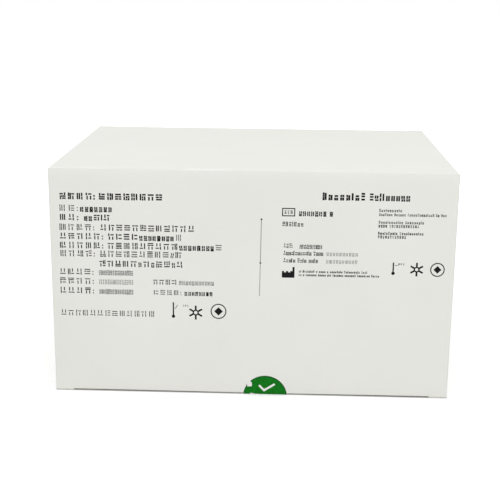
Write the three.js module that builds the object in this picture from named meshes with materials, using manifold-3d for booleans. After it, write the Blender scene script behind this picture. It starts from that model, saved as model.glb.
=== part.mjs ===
// Sealed folding carton: a reverse-tuck box of white coated board, shut at its lower front edge by a
// round paper seal. The top closure hangs on the front panel and tucks in at the back. The bottom
// closure hangs on the back panel and tucks in at the front, where the seal holds it.
//
// Millimetres, +Z up. The origin is on the table, under the middle of the box. The front faces -Y.

import * as THREE from 'three';
import { mergeVertices } from 'three/addons/utils/BufferGeometryUtils.js';
import Module from 'manifold-3d';

const wasm = await Module();
wasm.setup();

// Driving dimensions -----------------------------------------------------------------------------

// Carton, outside to outside
const width = 224; // X, along the front panel
const depth = 159; // Y, along the side panels
const height = 130; // Z, from the bottom closure's face to the top closure's face

// Board, folds and closures
const board = 0.5; // thickness of the board
const foldInside = 0.4; // inside radius of a creased fold
const sideClearance = 0.1; // a closure's side edge, in from where the dust flap turns flat
const tuckDrop = 0.1; // from where a tuck fold turns upright to the raw edge of the panel outside it
const lockTab = 9.3; // length of the flat tab at each end of a tuck fold, past its slit
const tabSetback = 0.3; // the tab's end, in from the face of the panel that it meets

// Round seal
const sealDiameter = 25.5;
const sealPaper = 0.1; // thickness of the paper
const sealX = 8.4; // the centre, to the right of the middle of the front panel
const sealDrop = 1.3; // the centre, below the carton's underside, measured along the paper

// Tear in the seal's rim, measured from the point of the rim that it is centred on
const tearAngle = 136; // degrees round the rim, anticlockwise from its right-hand point
const tearLeft = 1; // to the straight left side
const tearRight = 1.7; // to the curved right side
const tearDepth = 3; // down to the level floor
const tearMouth = 1.9; // half of the gap in the rim

// Steps in a quarter turn of a fold, and rows of the seal from its upper rim to its lower one
const foldSteps = 8;
const sealRows = 48;

// Sizes that follow ------------------------------------------------------------------------------

const foldRadius = foldInside + board;
const closureInset = foldRadius + sideClearance;
const tuckGap = foldRadius + tuckDrop; // open beside a tuck fold, and spanned by the seal
const tuckHalfLength = width / 2 - closureInset - lockTab;
const sealRadius = sealDiameter / 2;
const underside = sealPaper; // the carton stands on the paper that is folded under it

// Helpers ----------------------------------------------------------------------------------------

const quarter = Math.PI / 2;
const proud = 1; // how far a cutter reaches out past the faces that it cuts

// Each frame takes a flat outline to its plane: its own x, its own y and the way it is extruded.
const alongX = new THREE.Matrix4().makeBasis(
  new THREE.Vector3(0, 1, 0),
  new THREE.Vector3(0, 0, 1),
  new THREE.Vector3(1, 0, 0),
);
const alongBack = new THREE.Matrix4().makeBasis(
  new THREE.Vector3(1, 0, 0),
  new THREE.Vector3(0, 0, 1),
  new THREE.Vector3(0, -1, 0),
);
const alongZ = new THREE.Matrix4();

// A bar of the given length with this outline, centred on the origin along its axis.
function bar(outline, length, frame) {
  const options = { depth: length, bevelEnabled: false, curveSegments: foldSteps };
  const geometry = new THREE.ExtrudeGeometry(outline, options);
  return geometry.translate(0, 0, -length / 2).applyMatrix4(frame);
}

function toSolid(geometry) {
  const bare = geometry.clone();
  bare.deleteAttribute('normal');
  bare.deleteAttribute('uv');
  const merged = mergeVertices(bare, 1e-5);
  return new wasm.Manifold(
    new wasm.Mesh({
      numProp: 3,
      vertProperties: new Float32Array(merged.attributes.position.array),
      triVerts: new Uint32Array(merged.index.array),
    }),
  );
}

function toGeometry(solid) {
  const mesh = solid.getMesh();
  const geometry = new THREE.BufferGeometry();
  geometry.setAttribute('position', new THREE.BufferAttribute(mesh.vertProperties, 3));
  geometry.setIndex(new THREE.BufferAttribute(mesh.triVerts, 1));
  const faceted = geometry.toNonIndexed();
  faceted.computeVertexNormals();
  return faceted;
}

// Carton -----------------------------------------------------------------------------------------

// Outline from above. Three corners are creases. At the back right the side panel is creased inwards
// to its glue flap, and the raw edge of the back panel, glued over that flap, stands beside the crease.
function sleeveOutline() {
  const x = width / 2;
  const y = depth / 2;
  const r = foldRadius;
  const outline = new THREE.Shape();
  outline.absarc(-x + r, -y + r, r, 2 * quarter, 3 * quarter);
  outline.absarc(x - r, -y + r, r, 3 * quarter, 4 * quarter);
  outline.absarc(x - r, y - board - r, r, 0, Math.acos(foldInside / r));
  outline.lineTo(x - board, y);
  outline.absarc(-x + r, y - r, r, quarter, 2 * quarter);
  return outline;
}

// Outline from the front. The side panels are creased over into the dust flaps, and each closure lies
// on them, one board thick, with its raw side edges a little way in.
function frontOutline() {
  const x = width / 2;
  const r = foldRadius;
  const flapTop = height - board;
  const closureX = x - closureInset;
  const outline = new THREE.Shape();
  outline.moveTo(-closureX, 0);
  outline.lineTo(closureX, 0);
  outline.lineTo(closureX, board);
  outline.absarc(x - r, board + r, r, 3 * quarter, 4 * quarter);
  outline.absarc(x - r, flapTop - r, r, 0, quarter);
  outline.lineTo(closureX, flapTop);
  outline.lineTo(closureX, height);
  outline.lineTo(-closureX, height);
  outline.lineTo(-closureX, flapTop);
  outline.absarc(-x + r, flapTop - r, r, quarter, 2 * quarter);
  outline.absarc(-x + r, board + r, r, 2 * quarter, 3 * quarter);
  outline.lineTo(-closureX, board);
  return outline;
}

// Outline from the side, through the lock tabs. The front panel is creased over into the top closure
// and the back panel under into the bottom one. Each closure ends just short of the far panel's face.
function sideOutline() {
  const y = depth / 2;
  const r = foldRadius;
  const outline = new THREE.Shape();
  outline.moveTo(-y + tabSetback, board);
  outline.lineTo(-y + tabSetback, 0);
  outline.absarc(y - r, r, r, 3 * quarter, 4 * quarter);
  outline.lineTo(y, height - board);
  outline.lineTo(y - tabSetback, height - board);
  outline.lineTo(y - tabSetback, height);
  outline.absarc(-y + r, height - r, r, quarter, 2 * quarter);
  outline.lineTo(-y, board);
  return outline;
}

// What is open beside the top closure's tuck fold, seen from the side: the fold turns down inside the
// back panel, whose raw edge stands a little below it.
function tuckOutline() {
  const y = depth / 2;
  const foldY = y - board - foldRadius;
  const outline = new THREE.Shape();
  outline.moveTo(y + proud, height - tuckGap);
  outline.lineTo(y - board, height - tuckGap);
  outline.absarc(foldY, height - foldRadius, foldRadius, 0, quarter);
  outline.lineTo(foldY, height + proud);
  outline.lineTo(y + proud, height + proud);
  return outline;
}

function cartonGeometry() {
  const topTuck = bar(tuckOutline(), 2 * tuckHalfLength, alongX);
  // The bottom closure is the top one turned half round on the box's long axis.
  const bottomTuck = topTuck.clone().rotateX(Math.PI).translate(0, 0, height);
  const carton = toSolid(bar(sleeveOutline(), 2 * height, alongZ))
    .intersect(toSolid(bar(frontOutline(), 2 * depth, alongBack)))
    .intersect(toSolid(bar(sideOutline(), 2 * width, alongX)))
    .subtract(toSolid(topTuck))
    .subtract(toSolid(bottomTuck));
  return toGeometry(carton).translate(0, 0, underside);
}

// Seal -------------------------------------------------------------------------------------------

// Place of a point of the paper that is so far up the front panel from the carton's underside, and so
// far out from the gummed side. The paper spans the open tuck gap in a quarter turn, and what is
// further down lies flat under the bottom closure.
function onFold(up, out) {
  const front = -depth / 2;
  const turn = tuckGap * quarter;
  const past = tuckGap - up;
  if (past <= 0) return [front - out, underside + up];
  if (past >= turn) return [front + tuckGap + past - turn, underside - out];
  const angle = past / tuckGap;
  const reach = tuckGap + out;
  return [front + tuckGap - reach * Math.cos(angle), underside + tuckGap - reach * Math.sin(angle)];
}

// Levels across the seal, from its lower rim to its upper one, with one at each step of the turn.
function sealLevels() {
  const levels = [];
  for (let row = 0; row < sealRows; row += 1) {
    const angle = ((row + 0.5) / sealRows) * Math.PI;
    levels.push(-sealDrop - sealRadius * Math.cos(angle));
  }
  const turnEnd = tuckGap * (1 - quarter);
  const flat = levels.filter((up) => up < turnEnd || up > tuckGap);
  for (let step = 0; step <= foldSteps; step += 1) {
    flat.push(turnEnd + (step / foldSteps) * tuckGap * quarter);
  }
  return flat.sort((a, b) => a - b);
}

// The whole disc, folded round the edge of the box.
function sealDisc() {
  const levels = sealLevels();
  const spans = levels.length - 1;
  const disc = new THREE.BoxGeometry(2, spans, 1, 1, spans, 1);
  const position = disc.attributes.position;
  for (let i = 0; i < position.count; i += 1) {
    const up = levels[Math.round(position.getY(i) + spans / 2)];
    const halfWidth = Math.sqrt(sealRadius ** 2 - (up + sealDrop) ** 2);
    const [y, z] = onFold(up, (position.getZ(i) + 0.5) * sealPaper);
    position.setXYZ(i, sealX + position.getX(i) * halfWidth, y, z);
  }
  return disc;
}

// The bite torn out of the rim on the front panel.
function tearOutline() {
  const angle = THREE.MathUtils.degToRad(tearAngle);
  const outward = new THREE.Vector2(Math.cos(angle), Math.sin(angle));
  const rim = outward.clone().multiplyScalar(sealRadius);
  rim.add(new THREE.Vector2(sealX, underside - sealDrop));
  const along = new THREE.Vector2(-outward.y, outward.x).multiplyScalar(tearMouth);
  const left = rim.clone().add(along);
  const right = rim.clone().sub(along);
  const past = outward.clone().multiplyScalar(proud);
  const floor = rim.y - tearDepth;

  const outline = new THREE.Shape();
  outline.moveTo(rim.x - tearLeft, floor);
  outline.lineTo(rim.x + tearRight, floor);
  outline.quadraticCurveTo(rim.x + tearRight, right.y - tearMouth, right.x, right.y);
  outline.lineTo(right.x + past.x, right.y + past.y);
  outline.lineTo(left.x + past.x, left.y + past.y);
  outline.lineTo(left.x, left.y);
  return outline;
}

function sealGeometry() {
  const tear = bar(tearOutline(), 2 * proud, alongBack).translate(0, -depth / 2, 0);
  return toGeometry(toSolid(sealDisc()).subtract(toSolid(tear)));
}

// Assembly ---------------------------------------------------------------------------------------

const coatedBoard = new THREE.MeshStandardMaterial({ color: '#eceae4', roughness: 0.55, metalness: 0 });
const greenPaper = new THREE.MeshStandardMaterial({ color: '#1f6d28', roughness: 0.4, metalness: 0 });

const carton = new THREE.Mesh(cartonGeometry(), coatedBoard);
carton.name = 'carton';

const seal = new THREE.Mesh(sealGeometry(), greenPaper);
seal.name = 'seal_label';

const sealedCarton = new THREE.Group();
sealedCarton.add(carton, seal);

export default sealedCarton;
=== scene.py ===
"""Looks of a sealed folding carton: white coated board, a printed front and a torn round paper seal.

Metres, +Z up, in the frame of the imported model. The printed front faces -Y.
"""

import math
import random

import bmesh
import bpy
from mathutils import Matrix, Vector


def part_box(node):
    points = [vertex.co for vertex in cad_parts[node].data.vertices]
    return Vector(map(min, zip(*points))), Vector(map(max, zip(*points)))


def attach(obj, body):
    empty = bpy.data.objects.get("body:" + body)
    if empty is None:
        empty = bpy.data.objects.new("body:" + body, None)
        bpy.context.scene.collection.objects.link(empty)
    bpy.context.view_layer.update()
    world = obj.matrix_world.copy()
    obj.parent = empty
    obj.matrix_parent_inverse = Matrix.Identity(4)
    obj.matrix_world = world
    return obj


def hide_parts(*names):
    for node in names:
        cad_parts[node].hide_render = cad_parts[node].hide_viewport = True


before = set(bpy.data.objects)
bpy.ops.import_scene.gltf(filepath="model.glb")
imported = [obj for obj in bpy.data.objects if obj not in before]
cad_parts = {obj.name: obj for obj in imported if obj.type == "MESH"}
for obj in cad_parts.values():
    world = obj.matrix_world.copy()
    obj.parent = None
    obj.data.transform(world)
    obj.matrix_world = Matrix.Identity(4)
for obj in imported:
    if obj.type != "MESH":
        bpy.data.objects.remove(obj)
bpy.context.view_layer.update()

MM = 0.001
X, Y, Z = range(3)

# How near counts as in one place
ON_SLICE = 0.0001 * MM  # for a vertex and a slice through the box
WELD = 0.001 * MM  # for two vertices, and for a vertex and the plane of a panel
SLIVER = 0.002 * MM  # for the ends of an edge that is taken away
NEAR = 0.01 * MM  # for a point and the limits of a fold

# Carton, from the frame
carton_low, carton_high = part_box("carton")
HALF_X = carton_high.x
HALF_Y = carton_high.y
BASE = carton_low.z
TOP = carton_high.z
HEIGHT = TOP - BASE

# Board and folds, as the carton's solid has them
BOARD = 0.5 * MM
FOLD = 0.9 * MM  # outside radius of a crease
CLOSURE_INSET = 1.0 * MM  # a closure's cut side edge, in from the side panel
TUCK_GAP = 1.0 * MM  # open beside a tuck fold, up to the raw edge of the panel outside it
TUCK_HALF = 101.8 * MM  # half the length of a tuck fold, between its lock tabs

# Seal, from the frame
seal_low, seal_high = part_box("seal_label")
SEAL_RADIUS = (seal_high.x - seal_low.x) / 2
SEAL_X = (seal_high.x + seal_low.x) / 2
SEAL_UP = seal_high.z - BASE - SEAL_RADIUS  # its centre, up the front from the carton's underside
SEAL_PAPER = BASE  # the carton stands on the paper folded under it

# How far out from its gummed side each layer of the seal begins and ends
PAPER_LAYER = (0.0, 0.07 * MM)
SQUEEZE_LAYER = (0.04 * MM, 0.08 * MM)
GREEN_LAYER = (0.04 * MM, 0.085 * MM)
WHITE_LAYER = (0.04 * MM, SEAL_PAPER)

# Print on the board
INK = 0.02 * MM  # how far it stands proud
KEY = 0.05 * MM  # how far it reaches into the board


# Materials --------------------------------------------------------------------------------------

def linear(code):
    """An sRGB hex value as linear red, green, blue and alpha."""
    channels = [int(code[i:i + 2], 16) / 255 for i in (1, 3, 5)]
    return (*(c / 12.92 if c <= 0.04045 else ((c + 0.055) / 1.055) ** 2.4 for c in channels), 1)


def add(tree, kind, inputs=(), stops=(), **settings):
    """Adds a node: settings are its own values, inputs are sockets to link or values to set, and
    stops are the places and the sRGB colours of a ramp of two."""
    made = tree.nodes.new(kind)
    for key, value in settings.items():
        setattr(made, key, value)
    for key, value in dict(inputs).items():
        if isinstance(value, bpy.types.NodeSocket):
            tree.links.new(value, made.inputs[key])
        else:
            made.inputs[key].default_value = value
    for index, (at, colour) in enumerate(stops):
        made.color_ramp.elements[index].position = at
        made.color_ramp.elements[index].color = linear(colour)
    return made


def new_material(name):
    """An empty node material, with its tree, its shader and the object's own coordinates."""
    material = bpy.data.materials.new(name)
    material.use_nodes = True
    tree = material.node_tree
    shader = tree.nodes["Principled BSDF"]
    return material, tree, shader, add(tree, "ShaderNodeTexCoord").outputs["Object"]


def clay_coated_boxboard():
    """Folding boxboard, clay coated and varnished: a satin white, faintly clouded by the pulp under
    the coat, with painted shade that darkens it round a crease, and white in runs along a crease that
    are partly cracked coat and partly a painted highlight."""
    material, tree, shader, here = new_material("clay_coated_boxboard")
    cloud = add(tree, "ShaderNodeTexNoise", {"Vector": here, "Scale": 1 / (45 * MM), "Detail": 3.0})
    pulp = add(tree, "ShaderNodeTexNoise", {"Vector": here, "Scale": 1 / (1.4 * MM), "Detail": 3.0})
    mixed = add(tree, "ShaderNodeMix", {0: 0.2, 2: cloud.outputs["Fac"], 3: pulp.outputs["Fac"]})
    board = add(tree, "ShaderNodeValToRGB", {"Fac": mixed.outputs[0]},
                stops=((0.35, "#ebebe5"), (0.65, "#eeeee8")))

    crease = add(tree, "ShaderNodeAttribute", attribute_name="crease")
    # Painted shade: a darker colour round a crease, to dull the light that the bend catches.
    painted_crease_shade = add(tree, "ShaderNodeMix", {0: crease.outputs["Fac"], 6: board.outputs["Color"],
                                            7: linear("#e6e6e0")}, data_type="RGBA")
    # Cracks run for 10 to 30 mm of a crease. Real ones break up more finely than 0.5 mm, and these are
    # drawn that coarse so that they show. Their white is partly cracked coat and partly a painted
    # highlight along the crease.
    runs = add(tree, "ShaderNodeTexNoise", {"Vector": here, "Scale": 1 / (30 * MM), "Detail": 1.0,
                                            "W": 33.3}, noise_dimensions="4D")
    runs = add(tree, "ShaderNodeMapRange", {0: runs.outputs["Fac"], 1: 0.5, 2: 0.62})
    bits = add(tree, "ShaderNodeTexNoise", {"Vector": here, "Scale": 1 / (0.5 * MM)})
    bits = add(tree, "ShaderNodeMapRange", {0: bits.outputs["Fac"], 1: 0.3, 2: 0.6})
    cracks_and_highlight = add(tree, "ShaderNodeMath", {0: runs.outputs[0], 1: bits.outputs[0]}, operation="MULTIPLY")
    cracks_and_highlight = add(tree, "ShaderNodeMath", {0: cracks_and_highlight.outputs[0], 1: crease.outputs["Fac"]},
                  operation="MULTIPLY")
    # Painted highlight, partly cracked coat: white in runs along a crease.
    colour = add(tree, "ShaderNodeMix", {0: cracks_and_highlight.outputs[0], 6: painted_crease_shade.outputs[2],
                                         7: linear("#f6f6f3")}, data_type="RGBA")
    rough = add(tree, "ShaderNodeMapRange", {0: mixed.outputs[0], 1: 0.35, 2: 0.65, 3: 0.46, 4: 0.56})
    bump = add(tree, "ShaderNodeBump", {"Height": pulp.outputs["Fac"], "Distance": 0.003 * MM})
    tree.links.new(colour.outputs[2], shader.inputs["Base Color"])
    tree.links.new(rough.outputs[0], shader.inputs["Roughness"])
    tree.links.new(bump.outputs["Normal"], shader.inputs["Normal"])
    shader.inputs["IOR"].default_value = 1.5
    return material


def cut_boxboard_edge():
    """The raw edge that a die cuts through bleached boxboard: off-white pulp under a thin white coat,
    fuzzy with fibre."""
    material, tree, shader, here = new_material("cut_boxboard_edge")
    fibre = add(tree, "ShaderNodeTexNoise", {"Vector": here, "Scale": 1 / (0.25 * MM), "Detail": 3.0})
    pulp = add(tree, "ShaderNodeValToRGB", {"Fac": fibre.outputs["Fac"]},
               stops=((0.3, "#d1cec4"), (0.7, "#e2e0d8")))
    depth = add(tree, "ShaderNodeAttribute", attribute_name="depth")
    coat = add(tree, "ShaderNodeMath", {0: depth.outputs["Fac"], 1: 0.12}, operation="LESS_THAN")
    colour = add(tree, "ShaderNodeMix", {0: coat.outputs[0], 6: pulp.outputs["Color"],
                                         7: linear("#efeeea")}, data_type="RGBA")
    bump = add(tree, "ShaderNodeBump", {"Height": fibre.outputs["Fac"], "Distance": 0.03 * MM})
    tree.links.new(colour.outputs[2], shader.inputs["Base Color"])
    tree.links.new(bump.outputs["Normal"], shader.inputs["Normal"])
    shader.inputs["Roughness"].default_value = 0.92
    shader.inputs["IOR"].default_value = 1.45
    return material


def offset_ink(name, thick, thin):
    """Offset printing ink on coated board: even, nearly matt, thinner in specks over the pulp."""
    material, tree, shader, here = new_material(name)
    specks = add(tree, "ShaderNodeTexNoise", {"Vector": here, "Scale": 1 / (0.5 * MM), "Detail": 3.0})
    colour = add(tree, "ShaderNodeValToRGB", {"Fac": specks.outputs["Fac"]},
                 stops=((0.45, thick), (0.75, thin)))
    tree.links.new(colour.outputs["Color"], shader.inputs["Base Color"])
    shader.inputs["Roughness"].default_value = 0.5
    shader.inputs["IOR"].default_value = 1.45
    shader.inputs["Specular IOR Level"].default_value = 0.15
    return material


def flexographic_ink(name, thick, thin):
    """Flexographic ink on label paper: deep and nearly matt, a little mottled, with the paper's grain."""
    material, tree, shader, here = new_material(name)
    mottle = add(tree, "ShaderNodeTexNoise", {"Vector": here, "Scale": 1 / (1.2 * MM), "Detail": 4.0})
    colour = add(tree, "ShaderNodeValToRGB", {"Fac": mottle.outputs["Fac"]},
                 stops=((0.35, thick), (0.7, thin)))
    grain = add(tree, "ShaderNodeTexNoise", {"Vector": here, "Scale": 1 / (0.3 * MM)})
    bump = add(tree, "ShaderNodeBump", {"Height": grain.outputs["Fac"], "Distance": 0.004 * MM})
    tree.links.new(colour.outputs["Color"], shader.inputs["Base Color"])
    tree.links.new(bump.outputs["Normal"], shader.inputs["Normal"])
    shader.inputs["Roughness"].default_value = 0.5
    shader.inputs["IOR"].default_value = 1.45
    shader.inputs["Specular IOR Level"].default_value = 0.12
    return material


def uncoated_label_paper():
    """Uncoated label paper: white, matt, and fibrous where it is torn or left unprinted."""
    material, tree, shader, here = new_material("uncoated_label_paper")
    fibre = add(tree, "ShaderNodeTexNoise", {"Vector": here, "Scale": 1 / (0.2 * MM), "Detail": 4.0})
    colour = add(tree, "ShaderNodeValToRGB", {"Fac": fibre.outputs["Fac"]},
                 stops=((0.3, "#e9ebe6"), (0.7, "#f5f6f2")))
    bump = add(tree, "ShaderNodeBump", {"Height": fibre.outputs["Fac"], "Distance": 0.01 * MM})
    tree.links.new(colour.outputs["Color"], shader.inputs["Base Color"])
    tree.links.new(bump.outputs["Normal"], shader.inputs["Normal"])
    shader.inputs["Roughness"].default_value = 0.85
    shader.inputs["IOR"].default_value = 1.45
    return material


BOXBOARD = clay_coated_boxboard()
CUT_BOARD = cut_boxboard_edge()
BLACK_INK = offset_ink("offset_black_ink", "#070708", "#101011")
GREY_INK = offset_ink("offset_grey_ink", "#969794", "#a4a5a2")
GREEN_INK = flexographic_ink("flexographic_green_ink", "#086c12", "#0c7c1a")
SQUEEZED_INK = flexographic_ink("squeezed_green_ink", "#03450b", "#055310")
PAPER = uncoated_label_paper()


# Meshes -----------------------------------------------------------------------------------------

SHARP = math.radians(30)  # an edge that turns less than this is shaded smooth


def place(name, mesh, materials):
    """A finished piece of the object: it rides on the one body and takes its finish from a slot."""
    piece = bpy.data.objects.new(name, mesh)
    bpy.context.scene.collection.objects.link(piece)
    for material in materials:
        mesh.materials.append(material)
    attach(piece, "root")
    return piece


def mesh_from(bm, name):
    """A finished mesh, shaded smooth but for its sharp edges."""
    bmesh.ops.recalc_face_normals(bm, faces=bm.faces)
    for edge in bm.edges:
        edge.smooth = edge.calc_face_angle(0) < SHARP
    for face in bm.faces:
        face.smooth = True
    mesh = bpy.data.meshes.new(name)
    bm.to_mesh(mesh)
    bm.free()
    return mesh


def cut_through(bm, axis, at, near):
    """Adds an edge wherever the mesh meets the plane that lies across an axis at this place."""
    normal = Vector((0, 0, 0))
    normal[axis] = 1
    everything = bm.verts[:] + bm.edges[:] + bm.faces[:]
    bmesh.ops.bisect_plane(bm, geom=everything, dist=near, plane_co=normal * at, plane_no=normal)


# Carton -----------------------------------------------------------------------------------------

# Where each panel's flat part ends at a crease: the panel's own axis and side, then for each crease
# the axis across it and the place of its tangent line.
PANELS = {
    "front": (Y, -HALF_Y, ((X, -HALF_X + FOLD), (X, HALF_X - FOLD), (Z, TOP - FOLD))),
    "back": (Y, HALF_Y, ((X, -HALF_X + FOLD), (Z, BASE + FOLD))),
    "left": (X, -HALF_X, ((Y, -HALF_Y + FOLD), (Y, HALF_Y - FOLD),
                          (Z, BASE + BOARD + FOLD), (Z, TOP - BOARD - FOLD))),
    "right": (X, HALF_X, ((Y, -HALF_Y + FOLD), (Y, HALF_Y - BOARD - FOLD),
                          (Z, BASE + BOARD + FOLD), (Z, TOP - BOARD - FOLD))),
    "top": (Z, TOP, ((Y, -HALF_Y + FOLD), (Y, HALF_Y - BOARD - FOLD))),
    "under": (Z, BASE, ((Y, HALF_Y - FOLD), (Y, -HALF_Y + BOARD + FOLD))),
}
CREASE_WIDTH = 1.2 * MM  # of the groove that the creasing rule leaves beside a fold
CREASE_DEPTH = 0.04 * MM
CREASE_STEPS = 6  # rows of mesh across the groove
SLACK = 0.3 * MM  # how far the middle of a panel lies in
SLACK_SHAPE = 1.5  # power of the cosine that the slack follows: more makes the margins flatter
SLACK_STEP = 8 * MM  # side of the squares that a slack panel is meshed in
FLAT = math.radians(0.5)  # faces that turn less than this from one another are one panel
SQUARE = 0.999  # a normal with more than this along an axis is square to it
TUCK_SINK = 3.2 * MM  # how far the bottom tuck fold has drawn back from the front panel
SEAL_HOLD = 70 * MM  # how far to each side the seal's hold reaches, ever weaker
EDGE_DROP = 0.3 * MM  # how far the seal has pulled down the front panel's raw edge beside it
EDGE_SPRING = 0.8  # share of that drop that the raw edge has sprung back, out of the seal's hold
SHOULDER = 0.5 * MM  # how far the front panel leans back at its top crease
SHOULDER_REACH = 7 * MM  # how far from the box's edge that begins
SHOULDER_STEPS = 7  # rows of mesh in that reach
DECIMALS = 6  # of a metre, that the place of a slice is rounded to
MIDDLE = Vector((0, 0, (TOP + BASE) / 2))
HALF = Vector((HALF_X, HALF_Y, HEIGHT / 2))


def dip(point, panel):
    """How far the panel lies inside its flat plane at a point on it."""
    axis, _, creases = PANELS[panel]
    groove = 0
    for across, line in creases:
        share = abs(point[across] - line) / CREASE_WIDTH
        if share < 1:
            groove = max(groove, CREASE_DEPTH * math.sin(math.pi * share) ** 2)
    slack = SLACK
    for other in {X, Y, Z} - {axis}:
        reach = min(1, abs(point[other] - MIDDLE[other]) / HALF[other])
        slack *= math.cos(math.pi / 2 * reach) ** SLACK_SHAPE
    return groove + slack


def settle(point):
    """How a point has moved at the bottom closure's tuck fold, which has drawn back behind the front
    panel's raw edge, further where the seal doesn't hold them together."""
    behind = point.y + HALF_Y - BOARD
    over = point.z - BASE
    on_fold = -NEAR < behind < FOLD + NEAR and over < TUCK_GAP + NEAR
    on_edge = behind < 0 and abs(over - TUCK_GAP) < NEAR
    if abs(point.x) > TUCK_HALF or not (on_fold or on_edge):
        return Vector((0, 0, 0))
    loose = min(1, abs(point.x - SEAL_X) / SEAL_HOLD)
    back = TUCK_SINK * loose if on_fold else 0
    drop = EDGE_DROP * (1 - EDGE_SPRING * loose)
    return Vector((0, back, -drop * over / TUCK_GAP))


def lean(point):
    """How a point has moved at the front panel's top crease, where the panel leans back."""
    below = max(0, 1 - (TOP - point.z) / SHOULDER_REACH)
    behind = max(0, 1 - (point.y + HALF_Y) / SHOULDER_REACH)
    return Vector((0, SHOULDER * (below * behind) ** 2, 0))


def slices():
    """Places to slice the box across each axis, for its slack panels and the grooves at its creases."""
    cuts = set()
    for axis in (X, Y, Z):
        steps = round(2 * HALF[axis] / SLACK_STEP)
        for step in range(1, steps):
            cuts.add((axis, round(MIDDLE[axis] + HALF[axis] * (2 * step / steps - 1), DECIMALS)))
    for _, _, creases in PANELS.values():
        for axis, line in creases:
            inward = -1 if line > MIDDLE[axis] else 1
            for step in range(CREASE_STEPS + 1):
                cuts.add((axis, round(line + inward * CREASE_WIDTH * step / CREASE_STEPS, DECIMALS)))
    for step in range(1, SHOULDER_STEPS + 1):
        cuts.add((Y, round(-HALF_Y + SHOULDER_REACH * step / SHOULDER_STEPS, DECIMALS)))
        cuts.add((Z, round(TOP - SHOULDER_REACH * step / SHOULDER_STEPS, DECIMALS)))
    return sorted(cuts)


def is_cut_edge(face):
    """Whether a face is the board's cut edge: it is square to an axis and inside the box, and is
    neither the dust flap beside a closure nor the tuck flap inside a panel."""
    centre = face.calc_center_median()
    for axis in (X, Y, Z):
        if abs(face.normal[axis]) > SQUARE:
            inside = HALF[axis] - abs(centre[axis] - MIDDLE[axis])
            dust_flap = axis == Z and HALF_X - abs(centre.x) < CLOSURE_INSET
            tuck_flap = axis == Y and inside > BOARD - NEAR
            return inside > NEAR and not dust_flap and not tuck_flap
    return False


def insets(point):
    """How far a point lies inside the box along X, Y and Z."""
    return [HALF[axis] - abs(point[axis] - MIDDLE[axis]) for axis in (X, Y, Z)]


def creased(point):
    """How far a point is round a crease: 1 in the middle of its bend, and 0 on a flat panel."""
    share = (1 - sorted(insets(point))[1] / FOLD) / math.cos(math.pi / 4)
    return max(0, min(1, share))


def buried(point):
    """How many boards a point lies under the outside of the box."""
    return min(insets(point)) / BOARD


def make_carton():
    """The board box: the carton's solid with grooved creases, slack panels and cut board edges."""
    bm = bmesh.new()
    bm.from_mesh(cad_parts["carton"].data)
    bmesh.ops.remove_doubles(bm, verts=bm.verts, dist=WELD)
    bmesh.ops.dissolve_limit(bm, angle_limit=FLAT, verts=bm.verts, edges=bm.edges)
    for face in bm.faces:
        face.material_index = 1 if is_cut_edge(face) else 0
    for axis, at in slices():
        cut_through(bm, axis, at, ON_SLICE)
    crease = bm.verts.layers.float.new("crease")
    depth = bm.verts.layers.float.new("depth")
    for vertex in bm.verts:
        vertex[crease] = creased(vertex.co)
        vertex[depth] = buried(vertex.co)
        moved = vertex.co.copy()
        for panel, (axis, plane, _) in PANELS.items():
            if abs(vertex.co[axis] - plane) < WELD:
                moved[axis] -= math.copysign(dip(vertex.co, panel), plane - MIDDLE[axis])
        moved += settle(vertex.co) + lean(vertex.co)
        vertex.co = moved
    bmesh.ops.dissolve_degenerate(bm, dist=SLIVER, edges=bm.edges)
    carton = place("board_box", mesh_from(bm, "board_box"), [BOXBOARD, CUT_BOARD])
    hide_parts("carton")


# Print ------------------------------------------------------------------------------------------

PIECE = 4 * MM  # longest piece of a printed line, so that it follows the slack panel
ROUND_STEPS = 40  # sides of a printed circle


def on_front(x, z, out):
    """The point of the slack front panel at x and z, and so far out from it."""
    return Vector((x, -HALF_Y + dip(Vector((x, -HALF_Y, z)), "front") - out, z))


def patch(bm, outline):
    """A printed shape with this outline of x and z, keyed into the board and just proud of it."""
    rings = [[bm.verts.new(on_front(x, z, out)) for x, z in outline] for out in (INK, -KEY)]
    bm.faces.new(rings[0])
    bm.faces.new(reversed(rings[1]))
    for index in range(len(outline)):
        after = (index + 1) % len(outline)
        bm.faces.new((rings[0][after], rings[0][index], rings[1][index], rings[1][after]))


def line(bm, start, end, width):
    """A straight printed line, in pieces where it is long."""
    start, end = Vector(start), Vector(end)
    pieces = max(1, math.ceil((end - start).length / PIECE))
    side = (end - start).orthogonal().normalized() * width / 2
    left = [start.lerp(end, step / pieces) + side for step in range(pieces + 1)]
    right = [start.lerp(end, step / pieces) - side for step in range(pieces + 1)]
    patch(bm, left + right[::-1])


def ring(bm, centre, radius, width):
    """A printed ring."""
    loops = []
    for reach, out in ((radius, INK), (radius - width, INK), (radius - width, -KEY), (radius, -KEY)):
        turns = [2 * math.pi * step / ROUND_STEPS for step in range(ROUND_STEPS)]
        loops.append([bm.verts.new(on_front(centre[0] + reach * math.cos(turn),
                                            centre[1] + reach * math.sin(turn), out)) for turn in turns])
    for index, loop in enumerate(loops):
        inner = loops[(index + 1) % len(loops)]
        for step in range(ROUND_STEPS):
            after = (step + 1) % ROUND_STEPS
            bm.faces.new((loop[step], loop[after], inner[after], inner[step]))


def disc(bm, centre, radius, steps=ROUND_STEPS):
    """A printed disc, or with few steps a polygon."""
    turns = [2 * math.pi * step / steps for step in range(steps)]
    patch(bm, [(centre[0] + radius * math.cos(turn), centre[1] + radius * math.sin(turn))
               for turn in turns])


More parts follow.
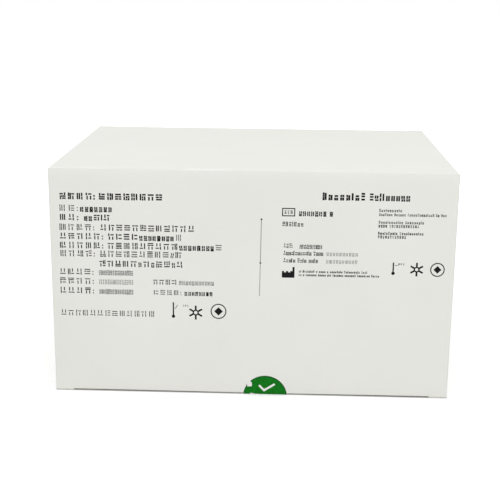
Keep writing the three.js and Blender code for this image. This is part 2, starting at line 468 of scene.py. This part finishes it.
# Marks that stand in for characters. Each is a place filled with short bars. As shares of a square
# character's height: how wide it is, how far the next one is, how high it is, and how long a bar may be.
MARKS = {
    "#": (0.92, 1.06, 1.0, 0.62),  # square character
    "8": (0.52, 0.66, 0.78, 0.46),  # figure
    "o": (0.5, 0.62, 0.74, 0.5),  # small letter
    "l": (0.16, 0.34, 1.0, 0.6),  # narrow letter
    "b": (0.5, 0.62, 1.0, 0.52),  # tall letter
    " ": (0, 0.4, 0, 0),
    ":": (0.12, 0.6, 0.6, 0),
}
SPLIT = (0.36, 0.64)  # where a place is split, between these shares of its length
SLIM = 0.7  # a part slimmer than this share of a bar's reach may stay whole
WHOLE_CHANCE = 0.5  # that a slim part stays whole
BAR_SHARE = 0.86  # of its part of the place that a bar is long
COLON_DOTS = (0.15, 0.55)  # how far up a colon's two dots are, as shares of the height
COLON_DOT = 0.65  # radius of such a dot, for the width of a bar
DOT_SIDES = 8


def bars(bm, low, high, reach, weight, chance):
    """Splits a place at random into parts that are slim or no longer than reach, with a bar in each."""
    size = high - low
    longer = 0 if size.x > size.y else 1
    slim = min(size) < SLIM * reach
    if size[longer] <= reach or (slim and chance.random() < WHOLE_CHANCE):
        half = Vector((0, 0))
        half[longer] = size[longer] * BAR_SHARE / 2
        line(bm, (low + high) / 2 - half, (low + high) / 2 + half, weight)
        return
    across = 0 if chance.random() < size.x / (size.x + size.y) else 1
    if slim:
        across = longer
    cut = low[across] + size[across] * chance.uniform(*SPLIT)
    near, far = low.copy(), high.copy()
    near[across] = far[across] = cut
    bars(bm, low, far, reach, weight, chance)
    bars(bm, near, high, reach, weight, chance)


def mark(bm, kind, foot, height, weight, chance):
    """One mark, from the lower left corner of its place."""
    wide, _, tall, reach = MARKS[kind]
    if kind == ":":
        for share in COLON_DOTS:
            disc(bm, foot + Vector((wide / 2, share)) * height, weight * COLON_DOT, DOT_SIDES)
    elif wide:
        bars(bm, foot, foot + Vector((wide, tall)) * height, reach * height, weight, chance)


def row_of_marks(bm, row, chance):
    """A row of marks between two places, foot to foot at one height."""
    left, right, middle, height, weight, marks = row
    foot = middle - height / 2
    natural = sum(MARKS[kind][1] for kind in marks) - (MARKS[marks[-1]][1] - MARKS[marks[-1]][0])
    stretch = (right - left) / (natural * height)
    x = left
    for kind in marks:
        mark(bm, kind, Vector((x, foot)) * MM, height * MM, weight * MM, chance)
        x += MARKS[kind][1] * height * stretch


# Rows of marks in millimetres: from and to along X, middle up from the table, height of a square
# character, width of a bar, and the marks.
BLACK_ROWS = (
    (-106.0, -86.5, 114.2, 4.1, 0.82, "####:"),
    (-84.4, -49.1, 114.2, 4.1, 0.88, "########"),
    (-106.3, -95.9, 107.5, 3.9, 0.5, "##:"),
    (-94.7, -77.2, 107.2, 3.9, 0.8, "8888888"),
    (-106.4, -95.9, 102.3, 3.9, 0.7, "##:"),
    (-92.7, -88.3, 102.0, 3.8, 0.85, "88"),
    (-87.4, -78.4, 102.3, 3.8, 0.75, "#l#"),
    (-106.6, -87.2, 96.7, 3.9, 0.52, "####:"),
    (-83.9, -31.6, 96.7, 3.9, 0.65, "############"),
    (-106.6, -82.5, 91.6, 3.9, 0.65, "#####:"),
    (-79.9, -63.0, 91.6, 3.9, 0.72, "####"),
    (-62.4, -43.2, 91.3, 3.9, 0.8, "88888888"),
    (-42.4, -39.0, 91.6, 3.9, 0.4, "#"),
    (-106.7, -82.5, 86.4, 3.9, 0.6, "#####:"),
    (-80.0, -40.9, 86.4, 3.9, 0.62, "#########"),
    (-40.3, -21.0, 86.1, 3.9, 0.75, "88888888"),
    (-20.2, -16.7, 86.4, 3.9, 0.48, "#"),
    (-106.7, -87.3, 81.7, 3.9, 0.56, "####:"),
    (-84.5, -38.7, 81.7, 3.9, 0.55, "#########8#"),
    (-85.0, -38.1, 76.1, 3.9, 0.65, "#####8#8##8#"),
    (-107.4, -88.4, 71.1, 3.9, 0.54, "####:"),
    (-107.5, -88.4, 65.8, 3.9, 0.54, "####:"),
    (-107.5, -88.4, 60.2, 3.9, 0.58, "####:"),
    (-55.2, -41.7, 65.9, 3.2, 0.5, "####"),
    (-55.0, -39.3, 59.8, 3.2, 0.46, "####:"),
    (-37.5, -21.9, 59.6, 3.2, 0.6, "88888888"),
    (-107.6, -54.4, 47.0, 3.7, 0.47, "#############"),
    (-38.5, -35.1, 52.5, 1.6, 0.24, "ooo"),
    (38.1, 61.6, 116.3, 4.6, 1.05, "boooolob"),
    (63.6, 85.7, 116.3, 4.6, 0.92, "bollooooo"),
    (25.4, 44.0, 106.8, 3.7, 0.65, "8888888 8"),
    (16.5, 28.2, 100.5, 2.9, 0.5, "bbblboo"),
    (17.4, 22.4, 88.2, 2.8, 0.44, "bbb:"),
    (26.2, 38.2, 88.1, 3.4, 0.42, "88888888"),
    (17.4, 39.2, 84.0, 2.8, 0.52, "booolooooolo booo"),
    (17.4, 36.4, 79.8, 2.8, 0.48, "boolo bolo oolo"),
    (26.1, 63.8, 73.6, 1.5, 0.34, "ol boololob o oooo o oooobolo bolooooolo bool"),
    (26.1, 70.5, 71.6, 1.5, 0.34, "oo o ooooooo boooo olo boooooo oooooob booooooo boooo"),
    (69.1, 81.6, 109.0, 1.8, 0.34, "boolooooolo"),
    (69.1, 105.8, 106.7, 1.8, 0.3, "boobooo booooo boooobooooloob bo boo"),
    (69.1, 93.8, 102.4, 1.8, 0.34, "booolooooloo boooooolo"),
    (69.1, 91.3, 100.2, 1.8, 0.38, "bbbb bbbbbbbbbbbbb"),
    (69.0, 93.8, 96.2, 1.8, 0.37, "booloboolo booolooooloo"),
    (69.0, 84.5, 94.1, 1.8, 0.38, "bbbbbbbbbbbb"),
    (80.8, 84.4, 79.0, 1.6, 0.32, "ooo"),
)
GREY_ROWS = (
    (-85.4, -66.6, 71.1, 3.9, 0.75, "8888888888"),
    (-85.4, -66.6, 65.8, 3.9, 0.5, "8888888888"),
    (-85.5, -66.7, 60.1, 3.9, 0.75, "8888888888"),
    (-40.6, -21.1, 65.8, 3.2, 0.6, "88888888888"),
    (41.1, 58.4, 84.0, 2.8, 0.45, "8888888888"),
    (41.1, 58.3, 79.7, 2.8, 0.4, "8888888888"),
)


# A thin grey line that divides the print, not quite upright: from a black dot to another, and on down
DIVIDER_TOP_DOT = Vector((5.1, 102.9)) * MM
DIVIDER_DOT = Vector((4.76, 78.0)) * MM
DIVIDER_FOOT = Vector((4.5, 58.9)) * MM
DIVIDER_DOT_RADIUS = 0.5 * MM
DIVIDER_DOT_SIDES = 12
DIVIDER_WIDTHS = (0.45 * MM, 0.38 * MM)  # between the dots, and below them

# Generic signs
STEM_WIDTH = 0.75 * MM
BULB_RADIUS = 0.95 * MM
ARM_WIDTH = 0.3 * MM
ARM_START = Vector((0.9, 4.4)) * MM  # from the foot of the stem
ARM_END = Vector((2.4, -1.6)) * MM  # from its head
ROSETTE_ARMS = 6
ROSETTE_ARM_WIDTH = 1.0 * MM
ROSETTE_RING_WIDTH = 0.75 * MM
ROSETTE_RING = 0.42  # its radius, as a share of the arms' reach
ROSETTE_HUB = 0.4  # where an arm begins, as a share of its reach
RING_WIDTH = 0.6 * MM  # of the ring round a square
RINGED_SHARE = 0.55  # of the ring's radius that the square reaches to
BLOCK_STEPS = (0.62, 0.5, 0.62, 0.5, 0.62, 1.0)  # heights along a stepped block
BLOCK_OVERLAP = 1.001  # how wide a step is drawn, so that none gapes
BOX_LINE = 0.55 * MM


def stem_and_bulb(bm, x, low, high):
    """A generic sign: a stem that stands on a disc, with a short arm to the right."""
    foot, head = Vector((x, low)), Vector((x, high))
    line(bm, foot, head, STEM_WIDTH)
    disc(bm, foot, BULB_RADIUS)
    line(bm, foot + ARM_START, head + ARM_END, ARM_WIDTH)


def rosette(bm, centre, reach):
    """A generic sign: arms round a ring."""
    ring(bm, centre, ROSETTE_RING * reach, ROSETTE_RING_WIDTH)
    for arm in range(ROSETTE_ARMS):
        turn = 2 * math.pi * (arm + 0.5) / ROSETTE_ARMS
        way = Vector((math.cos(turn), math.sin(turn)))
        start = Vector(centre) + way * ROSETTE_HUB * reach
        line(bm, start, Vector(centre) + way * reach, ROSETTE_ARM_WIDTH)


def ringed_square(bm, centre, radius):
    """A generic sign: a solid square, on its corner, in a ring."""
    ring(bm, centre, radius, RING_WIDTH)
    disc(bm, centre, RINGED_SHARE * radius, 4)


def stepped_block(bm, left, right, low, high):
    """A generic sign: a solid block with a stepped top."""
    height = high - low
    wide = (right - left) / len(BLOCK_STEPS)
    for index, share in enumerate(BLOCK_STEPS):
        at = left + (index + 0.5) * wide
        line(bm, (at, low), (at, low + share * height), wide * BLOCK_OVERLAP)


def outlined_box(bm, left, right, low, high):
    """A thin outlined box."""
    corner = BOX_LINE / 2
    for z in (low, high):
        line(bm, (left - corner, z), (right + corner, z), BOX_LINE)
    for x in (left, right):
        line(bm, (x, low + corner), (x, high - corner), BOX_LINE)


# Places of the signs in millimetres, along X and up from the table
STEMS = ((-43.8, 45.9, 54.2), (78.2, 73.5, 79.7))  # X, and up to the foot and to the head
ROSETTES = ((-31.2, 48.3, 4.1), (91.1, 75.9, 3.9))  # centre, and reach of the arms
RINGED_SQUARES = ((-18.4, 49.3, 4.45), (102.5, 76.0, 4.0))  # centre, and radius of the ring
BLOCK = (16.8, 23.8, 69.8, 76.0)  # left, right, low and high
BOX = (16.6, 23.2, 105.1, 109.2)  # left, right, low and high
BOXED_ROW = (17.6, 22.2, 107.2, 2.4, 0.4, "bbb")


def print_signs(bm):
    """The generic signs beside the rows of marks."""
    for x, foot, head in STEMS:
        stem_and_bulb(bm, x * MM, foot * MM, head * MM)
    for x, z, reach in ROSETTES:
        rosette(bm, (x * MM, z * MM), reach * MM)
    for x, z, radius in RINGED_SQUARES:
        ringed_square(bm, (x * MM, z * MM), radius * MM)
    stepped_block(bm, *(side * MM for side in BLOCK))
    outlined_box(bm, *(side * MM for side in BOX))


def make_print():
    """The print on the front panel, with plain marks for its words and figures."""
    chance = random.Random(5)
    black = bmesh.new()
    for row in (*BLACK_ROWS, BOXED_ROW):
        row_of_marks(black, row, chance)
    print_signs(black)
    for dot in (DIVIDER_TOP_DOT, DIVIDER_DOT):
        disc(black, dot, DIVIDER_DOT_RADIUS, DIVIDER_DOT_SIDES)
    place("black_print", mesh_from(black, "black_print"), [BLACK_INK])

    grey = bmesh.new()
    for row in GREY_ROWS:
        row_of_marks(grey, row, chance)
    below_dot = Vector((0, -DIVIDER_DOT_RADIUS))
    line(grey, DIVIDER_TOP_DOT + below_dot, DIVIDER_DOT - below_dot, DIVIDER_WIDTHS[0])
    line(grey, DIVIDER_DOT + below_dot, DIVIDER_FOOT, DIVIDER_WIDTHS[1])
    place("grey_print", mesh_from(grey, "grey_print"), [GREY_INK])


# Seal -------------------------------------------------------------------------------------------

SEAL_ROW = 1.0 * MM  # height of a row of the seal's mesh on its flat parts
TURN_ROWS = 8  # rows of its mesh round the fold
RIM_STEPS = 96  # sides of its round rim
SEAL_TILT = math.radians(-7)  # of its print
BEND = TUCK_GAP - EDGE_DROP  # radius of the paper's fold, as high as the gap that it spans
TURN = BEND * math.pi / 2  # length of paper in the fold


def on_fold(x, up, out):
    """A point of the paper: so far up the front from the carton's underside, and so far out from the
    gummed side. The paper spans the open tuck gap in a quarter turn, and then lies under the box."""
    past = BEND - up
    if past <= 0:
        return Vector((x, -HALF_Y - out, BASE + up))
    if past >= TURN:
        return Vector((x, -HALF_Y + BEND + past - TURN, BASE - out))
    angle = past / BEND
    reach = BEND + out
    return Vector((x, -HALF_Y + BEND - reach * math.cos(angle), BASE + BEND - reach * math.sin(angle)))


def layer(bm, outline, levels, thickness, material):
    """A sheet with this outline of x and up, between two distances from the gummed side."""
    low, high = thickness
    sheet = bmesh.new()
    sheet.faces.new([sheet.verts.new((x, up, low)) for x, up in outline])
    for level in levels:
        cut_through(sheet, Y, level, WELD)
    lower = sheet.faces[:]
    upper = bmesh.ops.extrude_face_region(sheet, geom=lower)["geom"]
    for vertex in (item for item in upper if isinstance(item, bmesh.types.BMVert)):
        vertex.co.z = high
    twins = {vertex: bm.verts.new(on_fold(*vertex.co)) for vertex in sheet.verts}
    for face in sheet.faces:
        bm.faces.new([twins[vertex] for vertex in face.verts]).material_index = material
    sheet.free()


def round_points(centre, radius, start, end, steps):
    """Points along an arc, by its angles in degrees."""
    turns = [math.radians(start + (end - start) * step / steps) for step in range(steps + 1)]
    return [(centre[0] + radius * math.cos(turn), centre[1] + radius * math.sin(turn)) for turn in turns]


def torn(points, step, jag, chance):
    """A torn line through the points: short pieces that wander to either side."""
    line_points = []
    for start, end in zip(points, points[1:]):
        start, end = Vector(start), Vector(end)
        pieces = max(1, round((end - start).length / step))
        side = (end - start).orthogonal().normalized()
        for piece in range(pieces):
            wander = side * chance.uniform(-jag, jag) if piece else Vector((0, 0))
            line_points.append(tuple(start.lerp(end, piece / pieces) + wander))
    line_points.append(tuple(points[-1]))
    return line_points


def seal_outline(radius, bite, jag, chance):
    """The disc with a bite torn out of its rim, whose sides and floor are the points of bite."""
    centre = (SEAL_X, SEAL_UP)
    first = math.degrees(math.atan2(bite[0][1] - centre[1], bite[0][0] - centre[0]))
    last = math.degrees(math.atan2(bite[-1][1] - centre[1], bite[-1][0] - centre[0]))
    rim = round_points(centre, radius, last, first + 360, RIM_STEPS)
    return rim[1:-1] + torn(bite, TEAR_STEP, jag, chance)


PAPER_RIM = 0.2 * MM  # white paper left outside the ink
SQUEEZE = 0.55 * MM  # width of the darker line where the plate squeezes ink out to its edge
TEAR_STEP = 0.3 * MM  # length of the short pieces of a torn line
PAPER_JAG = 0.12 * MM  # how far they wander to either side in the paper
SQUEEZE_JAG = 0.06 * MM  # and in the squeezed edge of the ink
GREEN_JAG = 0.04 * MM  # and in the even ink

# The bite, from the right end of its mouth in the rim round to the left end, in the paper, in the
# squeezed edge of the ink and in the even ink
PAPER_BITE = ((-0.4, 8.0), (-0.15, 7.4), (0.45, 6.9), (0.65, 5.8), (0.5, 4.85), (-0.6, 4.75), (-1.6, 4.8),
              (-1.7, 5.6), (-2.0, 6.2))
SQUEEZE_BITE = ((-0.15, 8.1), (0.15, 7.5), (0.75, 6.9), (0.95, 5.8), (0.8, 4.6), (-0.6, 4.5), (-1.8, 4.55),
                (-1.9, 5.4), (-2.15, 6.0))
GREEN_BITE = ((0.2, 8.15), (0.5, 7.65), (1.05, 7.0), (1.3, 5.8), (1.1, 4.3), (-0.6, 4.15), (-2.1, 4.2),
              (-2.25, 5.1), (-2.45, 5.5))
# The tick stands where a word would. The bars stand for a second word, mostly folded under.
TICK = ((-4.5, 4.5), (-3.7, 5.35), (-0.9, 3.1), (4.2, 7.3), (5.1, 6.45), (-0.9, 1.5))
SEAL_BARS = 5
SEAL_BAR_WIDTH = 2.6 * MM
SEAL_BAR_PITCH = 3.4 * MM
SEAL_BARS_LEFT = -8.5 * MM
SEAL_BARS_LOW = -3.35 * MM
SEAL_BARS_HIGH = -0.35 * MM


def millimetres(points):
    """Points given in millimetres, in metres."""
    return [(x * MM, up * MM) for x, up in points]


def tilted(points):
    """Points moved from beside the seal's centre line to their place on the tilted print."""
    turned = []
    for x, up in points:
        turned.append((SEAL_X + x * math.cos(SEAL_TILT) - up * math.sin(SEAL_TILT),
                       x * math.sin(SEAL_TILT) + up * math.cos(SEAL_TILT)))
    return turned


def make_seal():
    """The round paper seal over the closure: printed green, with a bite torn down to white fibre."""
    chance = random.Random(11)
    flat_rows = math.ceil(SEAL_RADIUS / SEAL_ROW)
    levels = [BEND + SEAL_ROW * row for row in range(flat_rows)]
    levels += [BEND - TURN - SEAL_ROW * row for row in range(flat_rows)]
    levels += [BEND - TURN * row / TURN_ROWS for row in range(1, TURN_ROWS)]
    bm = bmesh.new()
    paper = seal_outline(SEAL_RADIUS, millimetres(PAPER_BITE), PAPER_JAG, chance)
    layer(bm, paper, levels, PAPER_LAYER, 0)
    inked = SEAL_RADIUS - PAPER_RIM
    squeezed = seal_outline(inked, millimetres(SQUEEZE_BITE), SQUEEZE_JAG, chance)
    layer(bm, squeezed, levels, SQUEEZE_LAYER, 2)
    green = seal_outline(inked - SQUEEZE, millimetres(GREEN_BITE), GREEN_JAG, chance)
    layer(bm, green, levels, GREEN_LAYER, 1)
    layer(bm, tilted(millimetres(TICK)), levels, WHITE_LAYER, 0)
    low, high = SEAL_BARS_LOW, SEAL_BARS_HIGH
    for bar in range(SEAL_BARS):
        left = SEAL_BARS_LEFT + SEAL_BAR_PITCH * bar
        right = left + SEAL_BAR_WIDTH
        layer(bm, tilted(((left, low), (right, low), (right, high), (left, high))), levels, WHITE_LAYER, 0)
    seal = place("paper_seal", mesh_from(bm, "paper_seal"), [PAPER, GREEN_INK, SQUEEZED_INK])
    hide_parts("seal_label")


# Stage ------------------------------------------------------------------------------------------

FLOOR_HALF = 6  # half of the floor's side
CONTACT = 0.6 * MM  # how far out from the box the dark line where it stands reaches
GLOW_REACH = 0.5  # how far out from the box the floor's glow grows
NEAR_GLOW = 0.35  # strength of the glow at CONTACT
FAR_GLOW = 0.65  # what is added to it by GLOW_REACH
WORLD_LIGHT = 0.6  # strength of the world's light on the box


def white_to_the_eye(tree, lit, shown):
    """Joins two shaders: shown for what the camera and mirrors see, and lit for all other light."""
    path = add(tree, "ShaderNodeLightPath")
    seen = path.outputs["Is Camera Ray"]
    for ray in ("Is Glossy Ray", "Is Transmission Ray"):
        seen = add(tree, "ShaderNodeMath", {0: seen, 1: path.outputs[ray]}, operation="MAXIMUM").outputs[0]
    return add(tree, "ShaderNodeMixShader", {0: seen, 1: lit, 2: shown}).outputs[0]


def make_floor():
    """A pale floor that shows white, with the box's shadow on it."""
    bm = bmesh.new()
    bmesh.ops.create_grid(bm, x_segments=1, y_segments=1, size=FLOOR_HALF)
    mesh = mesh_from(bm, "floor")
    floor = bpy.data.objects.new("floor", mesh)
    bpy.context.scene.collection.objects.link(floor)

    material = bpy.data.materials.new("matt_white_floor")
    material.use_nodes = True
    tree = material.node_tree
    tree.nodes.remove(tree.nodes["Principled BSDF"])
    paint = add(tree, "ShaderNodeBsdfDiffuse", {"Color": linear("#e6e6e6")}).outputs[0]
    here = add(tree, "ShaderNodeTexCoord").outputs["Object"]
    size = Vector((HALF_X, HALF_Y, 0))
    out = add(tree, "ShaderNodeVectorMath", {0: here}, operation="ABSOLUTE").outputs[0]
    out = add(tree, "ShaderNodeVectorMath", {0: out, 1: size}, operation="SUBTRACT").outputs[0]
    out = add(tree, "ShaderNodeVectorMath", {0: out, 1: (0, 0, 0)}, operation="MAXIMUM").outputs[0]
    away = add(tree, "ShaderNodeVectorMath", {0: out}, operation="LENGTH").outputs["Value"]
    near = add(tree, "ShaderNodeMapRange", {"Value": away, "From Max": CONTACT, "To Max": NEAR_GLOW})
    far = add(tree, "ShaderNodeMapRange", {"Value": away, "From Min": CONTACT, "From Max": GLOW_REACH,
                                           "To Max": FAR_GLOW})
    strength = add(tree, "ShaderNodeMath", {0: near.outputs[0], 1: far.outputs[0]}, operation="ADD")
    glow = add(tree, "ShaderNodeEmission", {"Strength": strength.outputs[0]}).outputs[0]
    shown = add(tree, "ShaderNodeAddShader", {0: paint, 1: glow}).outputs[0]
    surface = white_to_the_eye(tree, paint, shown)
    tree.links.new(surface, tree.nodes["Material Output"].inputs["Surface"])
    mesh.materials.append(material)


def make_world():
    """An even white studio that lights the box from all round."""
    world = bpy.data.worlds.new("studio")
    bpy.context.scene.world = world
    world.use_nodes = True
    tree = world.node_tree
    tree.nodes.remove(tree.nodes["Background"])
    white = linear("#ffffff")
    lit = add(tree, "ShaderNodeBackground", {"Color": white, "Strength": WORLD_LIGHT}).outputs[0]
    shown = add(tree, "ShaderNodeBackground", {"Color": white, "Strength": 1.0}).outputs[0]
    tree.links.new(white_to_the_eye(tree, lit, shown), tree.nodes["World Output"].inputs["Surface"])


def make_softbox(name, at, aim, size, power):
    """A square, soft lamp that is aimed at a point."""
    lamp = bpy.data.lights.new(name, "AREA")
    lamp.shape = "SQUARE"
    lamp.size = size
    lamp.energy = power
    light = bpy.data.objects.new(name, lamp)
    bpy.context.scene.collection.objects.link(light)
    light.location = at
    light.rotation_euler = (Vector(aim) - Vector(at)).to_track_quat("-Z", "Y").to_euler()


def make_camera():
    """Straight on to the front, a little from the right, looking down by 15 degrees."""
    turn, drop, roll = (math.radians(angle) for angle in (-1.86, 14.92, 0.57))
    distance = 0.6514
    target = Vector((-0.0036, 0, BASE + 0.0641))
    ahead = Vector((math.sin(turn) * math.cos(drop), math.cos(turn) * math.cos(drop), -math.sin(drop)))
    level = Vector((math.cos(turn), -math.sin(turn), 0))
    upright = level.cross(ahead)
    right = math.cos(roll) * level + math.sin(roll) * upright
    up = right.cross(ahead)
    data = bpy.data.cameras.new("camera")
    data.sensor_width = 36
    data.lens = 74.2
    camera = bpy.data.objects.new("camera", data)
    bpy.context.scene.collection.objects.link(camera)
    camera.matrix_world = Matrix((right, up, -ahead)).transposed().to_4x4()
    camera.location = target - ahead * distance
    bpy.context.scene.camera = camera


make_carton()
make_print()
make_seal()
make_camera()
make_floor()
make_world()
make_softbox("overhead_softbox", at=(0, -0.3, 1.4), aim=(0, 0, 0), size=1.2, power=6.3)
make_softbox("front_softbox", at=(0.2, -1.5, 0.9), aim=(0, 0, 0.06), size=1.2, power=6.1)
bpy.context.scene.view_settings.view_transform = "Standard"
